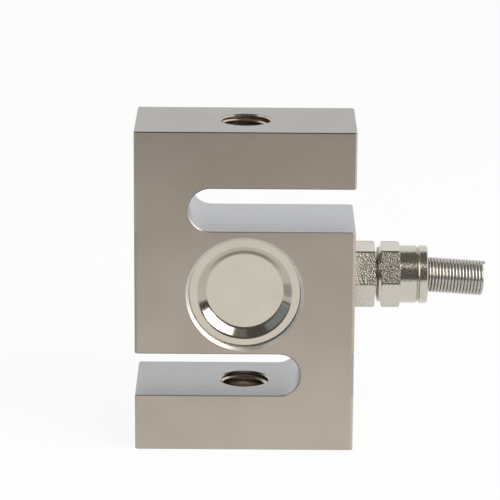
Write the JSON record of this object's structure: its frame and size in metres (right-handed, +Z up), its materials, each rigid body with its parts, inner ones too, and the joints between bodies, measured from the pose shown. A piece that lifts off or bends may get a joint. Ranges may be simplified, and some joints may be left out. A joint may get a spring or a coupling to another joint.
{
  "type": "s type load cell",
  "caption": "S-shaped steel block with two round-ended slots, dished pocket covers, a threaded hole in each arm and a side cable gland with a spring guard.",
  "frame": {"origin": "centre of the bottom face, at the mouth of the lower thread and on the load axis", "axes": "+Z up the load axis through both threads, +X out of the side with the cable gland, -Y out of the front face"},
  "size_m": [0.0817, 0.0254, 0.0762],
  "materials": {
    "beam_steel": "satin ground alloy steel under a thin nickel coat",
    "cover_steel": "pressed stainless sheet",
    "gauge_film": "amber polyimide film with constantan foil",
    "board_laminate": "green glass-fibre laminate with solder joints",
    "chip_ceramic": "dark glazed chip with tinned ends",
    "ribbon_sleeve": "grey flexible sleeve",
    "silicone_gel": "clear cured silicone",
    "gland_nickel": "nickel-plated brass, turned and lightly grained",
    "black_rubber": "black nitrile rubber",
    "nylon": "natural nylon",
    "spring_wire": "bright drawn spring wire"
  },
  "bodies": {
    "root": {"s_beam_body": "beam_steel", "front_cover": "cover_steel", "rear_cover": "cover_steel", "front_upper_gauge": "gauge_film", "front_lower_gauge": "gauge_film", "rear_upper_gauge": "gauge_film", "rear_lower_gauge": "gauge_film", "front_terminal_board": "board_laminate", "rear_terminal_board": "board_laminate", "front_resistor": "chip_ceramic", "rear_resistor": "chip_ceramic", "bridge_ribbon": "ribbon_sleeve", "front_potting": "silicone_gel", "rear_potting": "silicone_gel", "gland_body": "gland_nickel", "gland_o_ring": "black_rubber", "seal_bush": "black_rubber", "thrust_washer": "nylon", "spring_ferrule": "gland_nickel", "cap_nut": "gland_nickel", "spring_guard": "spring_wire"}
  },
  "joints": []
}
